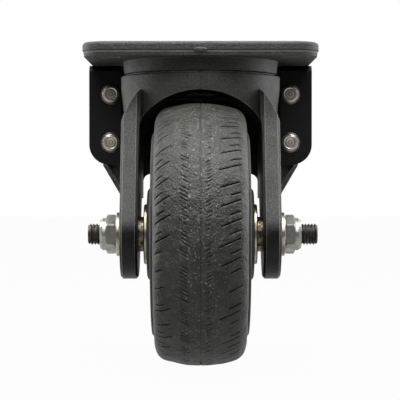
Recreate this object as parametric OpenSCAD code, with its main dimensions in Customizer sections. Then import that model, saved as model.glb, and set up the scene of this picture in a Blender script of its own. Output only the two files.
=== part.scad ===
// Swivel castor with a moulded plate and fork, side guards and a solid rubber wheel.
// Origin: centre of the plate's top face, on the swivel axis. +Z is up and -Y is the front,
// towards which the wheel trails.

/* [Top plate] */
// Width of the mounting plate, side to side
plate_w = 132.4; // [126:0.2:160]
// Depth of the mounting plate, front to back
plate_d = 110; // [104:1:130]
// Thickness of the mounting plate
plate_t = 8; // [7:0.5:12]
// Radius of the plate's corners in plan
plate_corner_r = 15; // [10:0.5:20]
// Rounding of the plate's top edge
plate_edge_r = 2; // [0.5:0.1:3]
// Depth of the parting line below the top face
parting_drop = 4.7; // [3.5:0.1:5.5]
// Draft of the plate's edge below the parting line
plate_draft = 0.9; // [0.3:0.1:1.5]
// Distance of the slots' centres inside the plate's sides
slot_inset_x = 13.7; // [11:0.1:17]
// Distance of the slots' centres inside the plate's front and back
slot_inset_y = 15; // [12:0.1:18]
// Width of a fixing slot
slot_w = 11; // [9:0.1:13]
// Length of a fixing slot
slot_l = 15; // [13.5:0.5:18]

/* [Swivel head] */
// Distance of the swivel ring's side inside the fork head's
ring_inset = 0.9; // [0.5:0.1:3]
// Height of the swivel ring below the plate
ring_h = 7.3; // [6:0.1:9]
// Draft of the swivel ring from top to bottom
ring_draft = 1; // [0:0.1:2]
// Open gap between the swivel ring and the fork head
swivel_gap = 1.2; // [1:0.1:3]
// Width of the raised land that keeps dust from the upper balls
land_w = 2.5; // [1.5:0.1:4]
// Radius of the upper balls
upper_ball_r = 3; // [2.5:0.1:3.3]
// Radius of the upper ball circle
upper_circle_r = 35; // [32:0.5:37]
// Number of upper balls
upper_ball_count = 30; // [16:1:32]
// Radial width of an upper race
race_w = 10; // [8:0.5:12]
// Height of an upper race
race_h = 5; // [4:0.1:5.5]
// Radius of the kingpin's shank
kingpin_r = 7; // [6:0.1:8]
// Radius of the kingpin's head
kingpin_head_r = 15; // [12:0.5:18]
// Thickness of the kingpin's head
kingpin_head_t = 4.5; // [3:0.1:5.5]
// Radius of the lower cup under the fork head
cup_r = 16.5; // [15.5:0.1:18]
// Thickness of the lower cup
cup_t = 3; // [1.8:0.1:3.6]
// Radius of the lower balls
lower_ball_r = 2.4; // [2:0.1:2.5]
// Radius of the lower ball circle
lower_circle_r = 12; // [11.5:0.1:13]
// Number of lower balls
lower_ball_count = 14; // [8:1:14]

/* [Fork] */
// How far the fork head stands out beyond the legs
head_over = 2; // [1:0.1:4]
// Thickness of the fork head over the crown of the arch
crown_t = 9.7; // [9:0.1:13]
// Rounding of the fork head's top edge
head_edge_r = 1; // [0.5:0.1:2]
// Distance between the inner faces of the legs
gap_w = 69.4; // [68:0.2:72]
// Thickness of a leg
leg_t = 9.8; // [8:0.1:10.5]
// Width of the bevel on a leg's edges
leg_bevel = 1.3; // [0.8:0.1:2]
// Radius of the arch over the wheel
arch_r = 45; // [42:0.5:60]
// Radius of the arch's corners
arch_corner_r = 14; // [8:0.5:20]
// How far the arc of the leg's round shoulder would pass beyond the leg's side
shoulder_over = 1.8; // [0.3:0.1:4]
// Depth of the shoulder's centre below the head's top
shoulder_drop = 40.2; // [34:0.1:44]
// Distance of the axle in front of the swivel axis
trail = 40; // [34:0.5:44]
// Depth of the axle below the plate's top face
axle_drop = 107.3; // [104:0.1:114]
// Radius of the leg's rounded lower end
boss_r = 25; // [20:0.5:27]
// Lean of the leg's front face from the vertical, in degrees
front_lean = 22; // [18:0.5:26]
// Radius of the raised seat under the axle washer
pad_r = 13.5; // [13:0.1:16]
// Height of the raised seat under the axle washer
pad_h = 0.7; // [0.3:0.1:1.5]
// Thickness of the wall behind the wheel
web_t = 3.5; // [2.5:0.1:5]
// Running gap between the tyre and the lower edge of that wall
wheel_clear = 3.6; // [2:0.1:8]
// Depth of that edge below the plate's top face
web_drop = 73.5; // [64:0.5:76]
// Rounding where that edge meets the legs
web_corner_r = 4.5; // [2:0.5:8]

/* [Side flanges and guards] */
// Distance of a flange's front wall behind the swivel axis
flange_y = 12; // [8:0.5:15]
// Distance of a flange's outer edge inside the plate's
flange_inset = 0.2; // [0:0.1:4]
// Running gap between the plate and the flanges
flange_gap = 1.2; // [0.8:0.1:3]
// Thickness of a flange's front wall
flange_wall = 4; // [3:0.1:6]
// Width of the rim round the hollow back of a flange
flange_rim = 4; // [3:0.1:5]
// Rounding of a guard's lower outer corner
guard_corner_r = 12; // [8:0.5:14]
// Depth of a guard's lower edge below the plate's top face
guard_drop = 68; // [64:0.5:72]
// Thickness of a guard
guard_t = 4; // [2:0.1:5]
// Bevel of a guard's upper front edge
guard_bevel = 3; // [1:0.1:3.5]
// Depth of the gusset's foot below the plate's top face
foot_drop = 88; // [84:0.5:90]
// Width of the gusset under a guard, out from the leg
gusset_w = 13.5; // [10:0.5:16]
// Width of the raised rim on the gusset's slanting edge
gusset_rim = 2.5; // [1.5:0.1:4]
// Distance of the rivets from a guard's inner edge
rivet_inset = 6; // [5:0.1:9]
// Depth of the upper rivets below the plate's top face
rivet_upper_drop = 26.2; // [22:0.2:30]
// Depth of the lower rivets below the plate's top face
rivet_lower_drop = 54.8; // [50:0.2:56]
// Radius of a rivet's head
rivet_head_r = 6; // [5:0.1:6.2]
// Height of a rivet's head
rivet_head_h = 2.6; // [1.8:0.1:3.5]
// Radius of a rivet's shank
rivet_r = 3.3; // [2.5:0.1:4]

/* [Wheel] */
// Thickness of the worn tyre over the rim
tyre_t = 16.4; // [14:0.1:18]
// Width of the tyre
tyre_w = 50.6; // [46:0.2:52]
// Crown radius of the tread
crown_r = 65; // [50:1:90]
// Rounding of the tyre's shoulders
shoulder_round = 9; // [6:0.5:11]
// Radius of the rim under the tyre
rim_r = 57; // [54:0.1:58]
// Width of the rim
rim_w = 53.8; // [53:0.2:56]
// Thickness of the rim
rim_t = 6; // [5:0.1:9]
// Height of the ridge that keys the tyre to the rim
key_h = 2.5; // [1:0.1:3]
// Width of that ridge
key_w = 18; // [10:0.5:24]
// Radius of the hub
hub_r = 26; // [23:0.1:29]
// Gap between the hub's face and a leg
hub_gap = 5; // [4:0.1:8]
// Thickness of the disc between hub and rim
disc_t = 30; // [24:0.5:38]
// Number of ribs on each side of the disc
rib_count = 8; // [5:1:12]
// Thickness of a rib
rib_t = 4; // [3:0.1:6]
// Length of a rib across the wheel
rib_l = 44; // [40:1:48]

/* [Axle and bearings] */
// Radius of the axle
axle_r = 6; // [5:0.1:6.5]
// Length of the axle left of the centre
axle_left = 63; // [60:0.5:66]
// Length of the axle right of the centre
axle_right = 65.5; // [60:0.5:68]
// Chamfer on the axle's ends
axle_chamfer = 1.2; // [0.5:0.1:2]
// Radius of an axle washer
washer_r = 12.2; // [11:0.1:13]
// Thickness of an axle washer
washer_t = 1.9; // [1.5:0.1:2.5]
// Width of a nut across its flats
nut_af = 19; // [18:0.1:20]
// Height of the nut's hexagon
nut_h = 5.8; // [5:0.1:7]
// Height of the nut's locking collar
collar_h = 3.4; // [3:0.1:4.5]
// Radius of the nut's locking collar
collar_r = 9; // [8.6:0.1:9]
// Radius of an inner spacer
spacer_r = 9.75; // [8.5:0.05:10.5]
// Outer radius of a bearing
bearing_r = 16; // [15:0.1:17]
// Width of a bearing
bearing_w = 10; // [9:0.1:12]
// Radius of a bearing's balls
bearing_ball_r = 2.35; // [2:0.05:2.5]
// Number of balls in a bearing
bearing_ball_count = 9; // [6:1:11]
// Radius of a dust disc
dust_r = 16.85; // [16.2:0.05:19]
// Thickness of a dust disc
dust_t = 1.9; // [1:0.1:2.5]

/* [Fits] */
// Clearance of pieces that sit fixed in one another
seat_clear = 0.05; // [0.02:0.01:0.1]
// Clearance between balls and their grooves
ball_clear = 0.25; // [0.2:0.01:0.3]
// Clearance round pieces that turn past one another
turn_clear = 0.45; // [0.3:0.05:0.8]

/* [Hidden] */
$fn = 96;

// Longer than any piece, for cuts that go right through
through = 400;
left = -1;
right = 1;

// Spacing of the fixing slots
bolt_pitch_x = plate_w - 2 * slot_inset_x;
bolt_pitch_y = plate_d - 2 * slot_inset_y;

// Widths, outwards from the centre
leg_in_x = gap_w / 2;
leg_out_x = leg_in_x + leg_t;
leg_root_x = leg_in_x - 0.5;
pad_x = leg_out_x + pad_h;
shoulder_r = leg_out_x + shoulder_over;
head_r = leg_out_x + head_over;
ring_r = head_r - ring_inset;
land_r = ring_r - ring_draft - 0.6;
guard_in_x = head_r + 0.5;
flange_x = plate_w / 2 - flange_inset;
rivet_x = guard_in_x + rivet_inset;

// Heights, downwards from the plate's top face
ring_z = -plate_t - ring_h;
head_z = ring_z - swivel_gap;
crown_z = head_z - crown_t;
arch_z = crown_z - arch_r;
shoulder_z = head_z - shoulder_drop;
axle_y = -trail;
axle_z = -axle_drop;
foot_z = -foot_drop;
web_z = -web_drop;
guard_z = -guard_drop;
flange_z = -plate_t - flange_gap;

// Swivel bearing
upper_ball_z = (ring_z + head_z) / 2;
kingpin_top_z = -0.5;
kingpin_seat_z = kingpin_top_z - kingpin_head_t;
cup_gap = swivel_gap * 0.6;
cup_z = crown_z - cup_gap;
lower_ball_z = crown_z - cup_gap / 2;
lower_race_h = 3.6;
cup_pocket_z = crown_z + 0.5;
lower_race_r = cup_r - 0.5;
spigot_r = kingpin_r - 2;
peen_r = spigot_r + 2.5;
peen_h = 1.2;

// Fork
tyre_r = rim_r + tyre_t;
wheel_back_y = axle_y + sqrt(tyre_r * tyre_r - pow(web_z - axle_z, 2));
web_y = wheel_back_y + wheel_clear;
back_y = web_y + web_t;
head_deep_z = shoulder_z + 5.5;
head_deep_r = leg_out_x - 1;
head_rear_z = crown_z - 4;
leg_top_z = head_z - 3.5;
guard_y = flange_y - guard_t;
foot_y = flange_y - 5;
// The blade's straight edges end just inside the round end, so that they cross it cleanly
join_r = boss_r - 0.05;
gusset_top_x = leg_out_x + gusset_w;
gusset_tip_x = leg_out_x + 1.8;
rivet_tail_r = rivet_r + 1.6;
rear_rib_t = 4;
rear_rib_x = 20;

// Wheel and axle stack, outwards from the centre
hub_x = leg_in_x - hub_gap;
hub_l = 2 * hub_x;
bearing_out_x = hub_x - 0.1;
bearing_in_x = bearing_out_x - bearing_w;
bearing_mid_x = (bearing_in_x + bearing_out_x) / 2;
inner_ring_r = axle_r + 3;
outer_ring_r = bearing_r - 3;
bearing_circle_r = (inner_ring_r + outer_ring_r) / 2;
sleeve_r = axle_r + 2.5;
core_bore_r = bearing_r - 3.5;
washer_out_x = pad_x + washer_t;
nut_out_x = washer_out_x + nut_h;
collar_out_x = nut_out_x + collar_h;
insert_r = axle_r + 1.5;
insert_t = 2.2;
crimp_t = 0.7;

// Angle, seen from centre c, at which the line from p touches a circle of radius r
function tangent_angle(c, r, p, way) =
    let (d = p - c)
    atan2(d[1], d[0]) + way * acos(r / norm(d));

// Point on a circle of radius r round centre c
function on_circle(c, r, angle) = c + r * [cos(angle), sin(angle)];

// Extrudes an X-Z outline from y0 to y1
module along_y(y0, y1) {
    translate([0, y1, 0])
        rotate([90, 0, 0])
            linear_extrude(y1 - y0)
                children();
}

// Extrudes a Y-Z outline from x0 to x1
module along_x(x0, x1) {
    translate([x0, 0, 0])
        rotate([90, 0, 90])
            linear_extrude(x1 - x0)
                children();
}

// Puts a piece that was turned round Z onto the axle, with its top towards +X
module on_axle() {
    translate([0, axle_y, axle_z])
        rotate([0, 90, 0])
            children();
}

// Puts a piece made for the right-hand side on the side named
module on_side(side) {
    if (side == right) {
        children();
    } else {
        mirror([1, 0, 0])
            children();
    }
}

// Ring between two radii and two heights
module ring(r_in, r_out, z0, z1) {
    translate([0, 0, z0])
        difference() {
            cylinder(h = z1 - z0, r = r_out);
            translate([0, 0, -1])
                cylinder(h = z1 - z0 + 2, r = r_in);
        }
}

// Torus-shaped groove for a ring of balls
module ball_groove(circle_r, groove_r, z) {
    translate([0, 0, z])
        rotate_extrude()
            translate([circle_r, 0])
                circle(r = groove_r, $fn = 48);
}

// Ring of separate balls
module ball_ring(circle_r, ball_r, count, z) {
    for (i = [0 : count - 1])
        rotate([0, 0, i * 360 / count])
            translate([circle_r, 0, z])
                sphere(r = ball_r, $fn = 32);
}

// Half-section of the plate's edge, with its outer face at radius r
module plate_edge(r) {
    lip = 0.35;
    translate([0, -parting_drop])
        square([r, parting_drop - plate_edge_r]);
    translate([0, -plate_edge_r - 1])
        square([r - plate_edge_r, plate_edge_r + 1]);
    translate([r - plate_edge_r, -plate_edge_r])
        circle(r = plate_edge_r, $fn = 48);
    polygon([
        [0, -parting_drop], [r - lip, -parting_drop], [r - plate_draft, -plate_t], [0, -plate_t]
    ]);
}

// Rounded plate: four turned corners, two straight edge bands each way and the middle
module plate_blank() {
    cx = plate_w / 2 - plate_corner_r;
    cy = plate_d / 2 - plate_corner_r;
    for (sx = [-1, 1], sy = [-1, 1])
        translate([sx * cx, sy * cy, 0])
            rotate_extrude()
                intersection() {
                    plate_edge(plate_corner_r);
                    translate([0, -plate_t])
                        square([plate_corner_r, plate_t]);
                }
    for (turn = [0, 180])
        rotate([0, 0, turn]) {
            along_x(-cx, cx)
                translate([cy, 0])
                    plate_edge(plate_corner_r);
            translate([cx, -cy, 0])
                rotate([90, 0, 0])
                    mirror([0, 0, 1])
                        linear_extrude(2 * cy)
                            plate_edge(plate_corner_r);
        }
    translate([-cx, -cy, -plate_t])
        cube([2 * cx, 2 * cy, plate_t]);
}

// Fixing slot, long across the plate
module slot_cut() {
    run = slot_l - slot_w;
    translate([0, 0, -plate_t - 1])
        linear_extrude(plate_t + 2) {
            square([run, slot_w], center = true);
            for (s = [-1, 1])
                translate([s * run / 2, 0])
                    circle(d = slot_w);
        }
}

module top_plate() {
    color("#2a2a2a")
        difference() {
            union() {
                plate_blank();
                translate([0, 0, ring_z])
                    cylinder(h = ring_h + 1, r1 = ring_r - ring_draft, r2 = ring_r);
            }
            for (sx = [-1, 1], sy = [-1, 1])
                translate([sx * bolt_pitch_x / 2, sy * bolt_pitch_y / 2, 0])
                    slot_cut();
            translate([0, 0, kingpin_seat_z])
                cylinder(h = through, r = kingpin_head_r + seat_clear);
            translate([0, 0, -through / 2])
                cylinder(h = through, r = kingpin_r + seat_clear);
            ring(upper_circle_r - race_w / 2 - seat_clear, upper_circle_r + race_w / 2 + seat_clear,
                ring_z - 1, ring_z + race_h);
        }
}

module kingpin() {
    dome_r = (peen_r * peen_r + peen_h * peen_h) / (2 * peen_h);
    spigot_z = cup_z - cup_t;
    color("#8a8a88") {
        translate([0, 0, kingpin_seat_z])
            cylinder(h = kingpin_head_t, r = kingpin_head_r);
        translate([0, 0, cup_z])
            cylinder(h = kingpin_seat_z - cup_z, r = kingpin_r);
        translate([0, 0, spigot_z])
            cylinder(h = cup_t, r = spigot_r);
        intersection() {
            translate([0, 0, spigot_z - peen_h + dome_r])
                sphere(r = dome_r);
            translate([0, 0, spigot_z - peen_h])
                cylinder(h = peen_h, r = peen_r);
        }
    }
}

module upper_race() {
    color("#77777a")
        difference() {
            ring(upper_circle_r - race_w / 2, upper_circle_r + race_w / 2, ring_z, ring_z + race_h);
            ball_groove(upper_circle_r, upper_ball_r + ball_clear, upper_ball_z);
        }
}

module head_race() {
    color("#77777a")
        difference() {
            ring(upper_circle_r - race_w / 2, upper_circle_r + race_w / 2, head_z - race_h, head_z);
            ball_groove(upper_circle_r, upper_ball_r + ball_clear, upper_ball_z);
        }
}

module lower_race() {
    color("#77777a")
        difference() {
            ring(kingpin_r + 1, lower_race_r, crown_z, crown_z + lower_race_h);
            ball_groove(lower_circle_r, lower_ball_r + ball_clear, lower_ball_z);
        }
}

// Dished cup that the peened kingpin holds up against the lower balls
module lower_cup() {
    rim_h = cup_t * 0.45;
    color("#6e6c68")
        difference() {
            rotate_extrude()
                polygon([
                    [spigot_r + seat_clear, cup_z], [cup_r, cup_z], [cup_r, cup_z - rim_h],
                    [cup_r - 1, cup_z - cup_t + 0.4], [peen_r + 1, cup_z - cup_t],
                    [spigot_r + seat_clear, cup_z - cup_t]
                ]);
            ball_groove(lower_circle_r, lower_ball_r + ball_clear, lower_ball_z);
        }
}

module upper_balls() {
    color("#a8a8aa")
        ball_ring(upper_circle_r, upper_ball_r, upper_ball_count, upper_ball_z);
}

module lower_balls() {
    color("#a8a8aa")
        ball_ring(lower_circle_r, lower_ball_r, lower_ball_count, lower_ball_z);
}

// Side outline of a leg's blade, which leans forward from the head to the axle
module leg_side() {
    axle = [axle_y, axle_z];
    front = on_circle(axle, join_r, 180 - front_lean);
    front_top = front + (leg_top_z - front[1]) * [tan(front_lean), 1];
    foot = [foot_y, foot_z];
    rear = on_circle(axle, join_r, tangent_angle(axle, join_r, foot, -1));
    polygon([
        axle, front, front_top, [back_y, leg_top_z], [back_y, foot_z], foot, rear
    ]);
}

// Two wedges that bevel the leaning front edges of the right-hand blade
module blade_bevels() {
    spare = 1.5;
    front = -join_r;
    translate([0, axle_y, axle_z])
        rotate([-front_lean, 0, 0])
            translate([0, 0, -through / 2])
                linear_extrude(through) {
                    polygon([
                        [leg_out_x - leg_bevel - spare, front - spare],
                        [leg_out_x + spare, front - spare],
                        [leg_out_x + spare, front + leg_bevel + spare]
                    ]);
                    polygon([
                        [leg_in_x + leg_bevel + spare, front - spare],
                        [leg_in_x - spare, front + leg_bevel + spare],
                        [leg_in_x - spare, front - spare]
                    ]);
                }
}

// Round end of the right-hand leg, turned about the axle, with bevelled edges
module leg_end() {
    on_axle()
        rotate_extrude()
            polygon([
                [0, leg_in_x], [boss_r - leg_bevel, leg_in_x], [boss_r, leg_in_x + leg_bevel],
                [boss_r, leg_out_x - leg_bevel], [boss_r - leg_bevel, leg_out_x], [0, leg_out_x]
            ]);
}

// Front outline of both legs together, with round shoulders
module legs_front() {
    intersection() {
        union() {
            translate([0, shoulder_z])
                circle(r = shoulder_r);
            translate([-shoulder_r, shoulder_z - through])
                square([2 * shoulder_r, through]);
        }
        translate([-leg_out_x, -through])
            square([2 * leg_out_x, 2 * through]);
    }
}

// Front outline of the tunnel for the wheel: a flat arch that runs into the legs by round corners
module tunnel_front() {
    corner_x = leg_in_x - arch_corner_r;
    rise = sqrt(pow(arch_r - arch_corner_r, 2) - corner_x * corner_x);
    reach = 2 * arch_r / (arch_r - arch_corner_r);
    intersection() {
        translate([0, arch_z])
            circle(r = arch_r);
        polygon([
            [0, arch_z], [reach * corner_x, arch_z + reach * rise],
            [-reach * corner_x, arch_z + reach * rise]
        ]);
    }
    for (s = [-1, 1])
        translate([s * corner_x, arch_z + rise])
            circle(r = arch_corner_r);
    translate([-leg_in_x, arch_z + rise - through])
        square([gap_w, through]);
}

// Outline of the gap below the wall behind the wheel
module window_front() {
    inner = leg_in_x - web_corner_r;
    translate([-leg_in_x, web_z - through])
        square([gap_w, through - web_corner_r]);
    translate([-inner, web_z - through])
        square([2 * inner, through]);
    for (s = [-1, 1])
        translate([s * inner, web_z - web_corner_r])
            circle(r = web_corner_r);
}

// Plan-turned head: rounded top edge and a skirt that draws in to the width of the legs
module head_blank() {
    straight_z = head_z - 7.5;
    edge_z = head_z - head_edge_r;
    rotate_extrude() {
        polygon([
            [0, head_z], [head_r - head_edge_r, head_z], [head_r - head_edge_r, edge_z],
            [head_r, edge_z], [head_r, straight_z], [head_deep_r, head_deep_z], [0, head_deep_z]
        ]);
        translate([head_r - head_edge_r, edge_z])
            circle(r = head_edge_r, $fn = 48);
    }
}

// Outline that a flange shares with its guard, from x0 out to the flange's edge
module guard_outline(x0) {
    corner_x = flange_x - guard_corner_r;
    corner_z = guard_z + guard_corner_r;
    translate([x0, corner_z])
        square([flange_x - x0, flange_z - corner_z]);
    translate([x0, guard_z])
        square([corner_x - x0, guard_corner_r + 1]);
    intersection() {
        translate([corner_x, corner_z])
            circle(r = guard_corner_r);
        translate([x0, guard_z - 1])
            square([through, through]);
    }
}

// Three-cornered gusset below a guard, from the leg out to its slanting edge
module gusset_outline() {
    x0 = leg_out_x - 2;
    polygon([
        [x0, guard_z + 1], [gusset_top_x, guard_z + 1], [gusset_top_x, guard_z],
        [gusset_tip_x, foot_z], [x0, foot_z]
    ]);
}

// Raised rim along the gusset's slanting edge
module gusset_rim_outline() {
    polygon([
        [gusset_top_x, guard_z], [gusset_tip_x, foot_z], [gusset_tip_x - gusset_rim, foot_z],
        [gusset_top_x - gusset_rim, guard_z]
    ]);
}

// Flange on the right-hand leg, hollow at the back, with a rim on the gusset's edge
module flange() {
    tail_clear = rivet_tail_r + 0.5;
    pocket_x = rivet_x - tail_clear;
    pocket_out_x = max(flange_x - flange_rim, rivet_x + tail_clear);
    pocket_z = min(guard_z + guard_corner_r - flange_rim, -rivet_lower_drop - tail_clear);
    difference() {
        union() {
            along_y(flange_y, back_y) {
                guard_outline(leg_out_x - 2);
                gusset_outline();
            }
            along_y(guard_y, flange_y + 1)
                gusset_rim_outline();
        }
        translate([0, 0, head_z - head_edge_r])
            cylinder(h = through, r = ring_r + turn_clear);
        along_y(flange_y + flange_wall, through)
            translate([pocket_x, pocket_z])
                square([pocket_out_x - pocket_x, flange_z - flange_rim - pocket_z]);
        for (drop = [rivet_upper_drop, rivet_lower_drop])
            translate([rivet_x, 0, -drop])
                rotate([90, 0, 0])
                    cylinder(h = through, r = rivet_r + seat_clear, center = true);
    }
}

// Stiffening ribs behind the wheel wall, under the rear of the head
module rear_ribs() {
    reach = sqrt(head_r * head_r - rear_rib_x * rear_rib_x) - 4;
    for (x = [-rear_rib_x, 0, rear_rib_x])
        along_x(x - rear_rib_t / 2, x + rear_rib_t / 2)
            polygon([
                [back_y - 1, head_rear_z + 1], [reach, head_rear_z + 1], [back_y, web_z + 6],
                [back_y - 1, web_z + 6]
            ]);
}

module fork() {
    color("#333333")
        difference() {
            union() {
                difference() {
                    head_blank();
                    translate([-through / 2, back_y, head_rear_z - through])
                        cube(through);
                }
                difference() {
                    intersection() {
                        along_y(-through, back_y)
                            legs_front();
                        along_x(-leg_out_x, leg_out_x)
                            leg_side();
                    }
                    translate([-leg_root_x, -through, -through])
                        cube([2 * leg_root_x, through, 2 * through]);
                    for (side = [left, right])
                        on_side(side)
                            blade_bevels();
                }
                translate([0, 0, head_z - 1])
                    ring(land_r - land_w, land_r, 0, 1 + swivel_gap - turn_clear);
                for (side = [left, right])
                    on_side(side) {
                        leg_end();
                        flange();
                    }
                on_axle()
                    cylinder(h = 2 * pad_x, r = pad_r, center = true);
                rear_ribs();
            }
            along_y(-through, web_y)
                tunnel_front();
            along_y(-through, through)
                window_front();
            ring(upper_circle_r - race_w / 2 - seat_clear, upper_circle_r + race_w / 2 + seat_clear,
                head_z - race_h, head_z + 1);
            translate([0, 0, -through / 2])
                cylinder(h = through, r = kingpin_r + turn_clear);
            translate([0, 0, arch_z])
                cylinder(h = cup_pocket_z - arch_z, r = cup_r + 2 * turn_clear);
            translate([0, 0, crown_z - 1])
                cylinder(h = lower_race_h + 1, r = lower_race_r + seat_clear);
            on_axle()
                cylinder(h = through, r = axle_r + seat_clear, center = true);
        }
}

// Flat guard riveted to the front of a flange
module guard(side) {
    color("#171716")
        on_side(side)
            difference() {
                along_y(guard_y, flange_y)
                    guard_outline(guard_in_x);
                along_x(0, through)
                    polygon([
                        [guard_y - 1, flange_z - guard_bevel - 1], [guard_y + guard_bevel + 1, flange_z + 1],
                        [guard_y - 1, flange_z + 1]
                    ]);
                for (drop = [rivet_upper_drop, rivet_lower_drop])
                    translate([rivet_x, 0, -drop])
                        rotate([90, 0, 0])
                            cylinder(h = through, r = rivet_r + seat_clear, center = true);
            }
}

module left_guard() { guard(left); }
module right_guard() { guard(right); }

// Two rivets: bevelled head with a flat, slightly sunk centre in front, upset tail behind
module rivets(side) {
    grip = guard_t + flange_wall;
    tail_h = 2;
    flat_r = rivet_head_r * 0.55;
    top = grip + rivet_head_h;
    color("#b9b7b0")
        on_side(side)
            for (drop = [rivet_upper_drop, rivet_lower_drop])
                translate([rivet_x, flange_y + flange_wall, -drop])
                    rotate([90, 0, 0])
                        rotate_extrude()
                            polygon([
                                [0, -tail_h], [rivet_tail_r - 0.6, -tail_h], [rivet_tail_r, -tail_h + 0.6],
                                [rivet_tail_r, 0], [rivet_r, 0], [rivet_r, grip], [rivet_head_r, grip],
                                [rivet_head_r, grip + 0.6], [rivet_head_r - 1.3, top - 0.5],
                                [flat_r + 0.4, top], [flat_r, top - 0.3], [0, top - 0.3]
                            ]);
}

module left_rivets() { rivets(left); }
module right_rivets() { rivets(right); }

// Threaded stud through both legs, chamfered at its ends
module axle() {
    color("#6b5a4e")
        on_axle()
            rotate_extrude()
                polygon([
                    [0, -axle_left], [axle_r - axle_chamfer, -axle_left],
                    [axle_r, axle_chamfer - axle_left], [axle_r, axle_right - axle_chamfer],
                    [axle_r - axle_chamfer, axle_right], [0, axle_right]
                ]);
}

// Tube that keeps the two bearings apart
module axle_sleeve() {
    color("#85857f")
        on_axle()
            ring(axle_r + seat_clear, sleeve_r, -bearing_in_x, bearing_in_x);
}

module washer(side) {
    edge = 0.3;
    color("#b4a97f")
        on_side(side)
            on_axle()
                rotate_extrude()
                    polygon([
                        [axle_r + seat_clear, pad_x], [washer_r, pad_x],
                        [washer_r, washer_out_x - edge], [washer_r - edge, washer_out_x],
                        [axle_r + seat_clear, washer_out_x]
                    ]);
}

module left_washer() { washer(left); }
module right_washer() { washer(right); }

// Hexagon nut, chamfered at both ends, with a turned collar crimped over a locking ring
module nut(side) {
    corner_r = nut_af / 2 / cos(30);
    bevel = corner_r - nut_af / 2;
    bevel_h = bevel * tan(30);
    bore_r = axle_r + seat_clear;
    insert_z = collar_out_x - crimp_t - insert_t;
    color("#c4c4c2")
        on_side(side)
            on_axle()
                difference() {
                    union() {
                        intersection() {
                            translate([0, 0, washer_out_x])
                                cylinder(h = nut_h, r = corner_r, $fn = 6);
                            rotate_extrude()
                                polygon([
                                    [0, washer_out_x], [nut_af / 2, washer_out_x],
                                    [corner_r, washer_out_x + bevel_h], [corner_r, nut_out_x - bevel_h],
                                    [nut_af / 2, nut_out_x], [0, nut_out_x]
                                ]);
                        }
                        rotate_extrude()
                            polygon([
                                [0, nut_out_x - 1], [collar_r, nut_out_x - 1],
                                [collar_r, collar_out_x - 1.6], [collar_r - 1.2, collar_out_x],
                                [0, collar_out_x]
                            ]);
                    }
                    translate([0, 0, washer_out_x - 1])
                        cylinder(h = through, r = bore_r);
                    translate([0, 0, insert_z])
                        cylinder(h = insert_t, r = insert_r + seat_clear);
                }
}

module left_nut() { nut(left); }
module right_nut() { nut(right); }

module nut_insert(side) {
    z1 = collar_out_x - crimp_t - seat_clear;
    color("#3c4a5a")
        on_side(side)
            on_axle()
                ring(axle_r + seat_clear, insert_r, z1 - insert_t + 2 * seat_clear, z1);
}

module left_nut_insert() { nut_insert(left); }
module right_nut_insert() { nut_insert(right); }

module spacer(side) {
    color("#8f6a52")
        on_side(side)
            on_axle()
                ring(axle_r + seat_clear, spacer_r, bearing_out_x, leg_in_x);
}

module left_spacer() { spacer(left); }
module right_spacer() { spacer(right); }

module bearing_ring(side, r_in, r_out) {
    color("#9a9a9c")
        on_side(side)
            on_axle()
                difference() {
                    ring(r_in, r_out, bearing_in_x, bearing_out_x);
                    ball_groove(bearing_circle_r, bearing_ball_r + ball_clear, bearing_mid_x);
                }
}

module left_inner_ring() { bearing_ring(left, axle_r + seat_clear, inner_ring_r); }
module right_inner_ring() { bearing_ring(right, axle_r + seat_clear, inner_ring_r); }
module left_outer_ring() { bearing_ring(left, outer_ring_r, bearing_r); }
module right_outer_ring() { bearing_ring(right, outer_ring_r, bearing_r); }

module bearing_balls(side) {
    color("#a8a8aa")
        on_side(side)
            on_axle()
                ball_ring(bearing_circle_r, bearing_ball_r, bearing_ball_count, bearing_mid_x);
}

module left_bearing_balls() { bearing_balls(left); }
module right_bearing_balls() { bearing_balls(right); }

// Section of the key that holds the tyre, grown by a clearance
module key_section(clear) {
    translate([0, -key_w / 2 - clear])
        square([rim_r + key_h + clear, key_w + 2 * clear]);
}

// Section of the tyre: an arc across the tread that runs into round shoulders
module tyre_section() {
    half_w = tyre_w / 2;
    crown_centre = tyre_r - crown_r;
    round_x = half_w - shoulder_round;
    round_y = crown_centre + sqrt(pow(crown_r - shoulder_round, 2) - round_x * round_x);
    reach = 2 * crown_r / (round_y - crown_centre);
    intersection() {
        translate([crown_centre, 0])
            circle(r = crown_r, $fn = 180);
        polygon([
            [crown_centre, 0],
            [crown_centre + reach * (round_y - crown_centre), -reach * round_x],
            [crown_centre + reach * (round_y - crown_centre), reach * round_x]
        ]);
    }
    for (s = [-1, 1])
        translate([round_y, s * round_x])
            circle(r = shoulder_round);
    translate([rim_r, -half_w])
        square([round_y - rim_r, tyre_w]);
}

module tyre() {
    color("#454543")
        on_axle()
            rotate_extrude($fn = 180)
                difference() {
                    tyre_section();
                    translate([0, -through / 2])
                        square([rim_r + seat_clear, through]);
                    key_section(seat_clear);
                }
}

// Section of the core: hub, disc, rim and key
module core_section() {
    rim_round = 1.5;
    hub_round = 2.5;
    key_section(0);
    translate([0, -disc_t / 2])
        square([rim_r - 1, disc_t]);
    translate([rim_r - rim_t, -rim_w / 2 + rim_round])
        square([rim_t, rim_w - 2 * rim_round]);
    translate([rim_r - rim_t + rim_round, -rim_w / 2])
        square([rim_t - 2 * rim_round, rim_w]);
    for (s = [-1, 1], r = [rim_r - rim_t + rim_round, rim_r - rim_round])
        translate([r, s * (rim_w / 2 - rim_round)])
            circle(r = rim_round, $fn = 32);
    translate([0, -hub_x + hub_round])
        square([hub_r, hub_l - 2 * hub_round]);
    translate([0, -hub_x])
        square([hub_r - hub_round, hub_l]);
    for (s = [-1, 1])
        translate([hub_r - hub_round, s * (hub_x - hub_round)])
            circle(r = hub_round, $fn = 32);
}

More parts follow.
